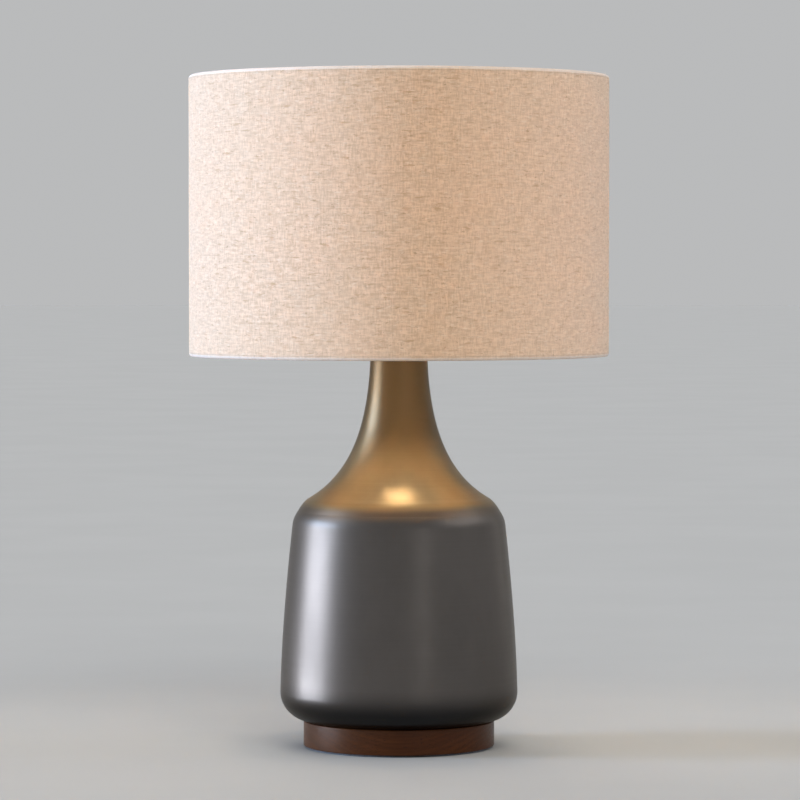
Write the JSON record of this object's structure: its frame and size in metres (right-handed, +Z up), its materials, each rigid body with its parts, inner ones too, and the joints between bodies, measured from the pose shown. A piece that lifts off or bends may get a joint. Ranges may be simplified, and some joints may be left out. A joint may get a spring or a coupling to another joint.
{
  "type": "table lamp",
  "caption": "Table lamp with a flared-neck metal body on a turned wood base, and a linen drum shade held by a harp, spider and finial.",
  "frame": {"origin": "centre of the felt pad's underside, on the lamp's axis, where the lamp stands on the table", "axes": "+Z up the lamp's axis, -Y towards the front where the switch knob points, +X to the right as seen from the front"},
  "size_m": [0.381, 0.381, 0.6095],
  "materials": {
    "graphite_finish": "satin dark grey metallic finish on the spun body",
    "brass_finish": "satin antique brass finish on the spun neck",
    "walnut": "stained and satin lacquered",
    "felt": "black felt",
    "cast_iron": "as cast",
    "steel": "zinc plated",
    "brass_hardware": "polished brass plate",
    "black_plastic": "moulded",
    "paperboard": "pressed fibre board",
    "aluminium": "bright",
    "frosted_glass": "frosted inside",
    "linen": "oatmeal slub linen",
    "shade_liner": "translucent white backing sheet",
    "white_enamel": "white powder coat"
  },
  "bodies": {
    "lamp": {"felt_pad": "felt", "wood_base": "walnut", "cord_grommet": "black_plastic", "base_washer": "steel", "base_nut": "steel", "base_weight": "cast_iron", "weight_nut": "steel", "body_shell": "graphite_finish", "neck_shell": "brass_finish", "lamp_pipe": "steel", "neck_cap": "brass_hardware", "neck_nut": "brass_hardware", "harp_saddle": "brass_hardware", "harp": "brass_hardware", "harp_stud": "brass_hardware", "socket_cap": "brass_hardware", "socket_shell": "brass_hardware", "socket_liner": "paperboard", "socket_core": "black_plastic", "screw_shell": "aluminium", "center_contact": "brass_hardware", "terminal_screw_left": "steel", "terminal_screw_right": "steel"},
    "switch": {"switch_shaft": "brass_hardware", "switch_knob": "black_plastic"},
    "bulb_carrier": {"bulb_tip": "steel"},
    "bulb": {"bulb_insulator": "black_plastic", "bulb_cap": "aluminium", "bulb_glass": "frosted_glass", "bulb_stem": "frosted_glass", "bulb_filament": "steel"},
    "shade": {"shade_fabric": "linen", "shade_liner": "shade_liner", "shade_ring_top": "white_enamel", "shade_ring_bottom": "white_enamel", "spider_hub": "white_enamel", "spider_arm_1": "white_enamel", "spider_arm_2": "white_enamel", "spider_arm_3": "white_enamel"},
    "finial_carrier": {"finial_insert": "brass_hardware"},
    "finial": {"finial": "brass_hardware"},
    "sleeve_left": {"harp_sleeve_left": "brass_hardware"},
    "sleeve_right": {"harp_sleeve_right": "brass_hardware"}
  },
  "joints": [
    {"name": "switch_turn", "type": "hinge", "parent": "lamp", "child": "switch", "pos_m": [0, 0, 0.42], "axis": [0, -1, 0], "continuous": true},
    {"name": "bulb_rise", "type": "slide", "parent": "lamp", "child": "bulb_carrier", "axis": [0, 0, 1], "range_m": [0, 0.0146]},
    {"name": "bulb_unscrew", "type": "hinge", "parent": "bulb_carrier", "child": "bulb", "pos_m": [0, 0, 0.429], "axis": [0, 0, 1], "range_deg": [0, 1440]},
    {"name": "shade_turn", "type": "hinge", "parent": "lamp", "child": "shade", "pos_m": [0, 0, 0.588], "axis": [0, 0, 1], "continuous": true},
    {"name": "finial_rise", "type": "slide", "parent": "lamp", "child": "finial_carrier", "axis": [0, 0, 1], "range_m": [0, 0.0067]},
    {"name": "finial_unscrew", "type": "hinge", "parent": "finial_carrier", "child": "finial", "pos_m": [0, 0, 0.591], "axis": [0, 0, 1], "range_deg": [0, 2520]},
    {"name": "sleeve_left_slide", "type": "slide", "parent": "lamp", "child": "sleeve_left", "axis": [0, 0, 1], "range_m": [0, 0.012]},
    {"name": "sleeve_right_slide", "type": "slide", "parent": "lamp", "child": "sleeve_right", "axis": [0, 0, 1], "range_m": [0, 0.012]}
  ],
  "couplings": [
    {"joint": "bulb_rise", "follows": "bulb_unscrew", "m_per_rad": 0.0005777},
    {"joint": "finial_rise", "follows": "finial_unscrew", "m_per_rad": 0.0001497}
  ]
}
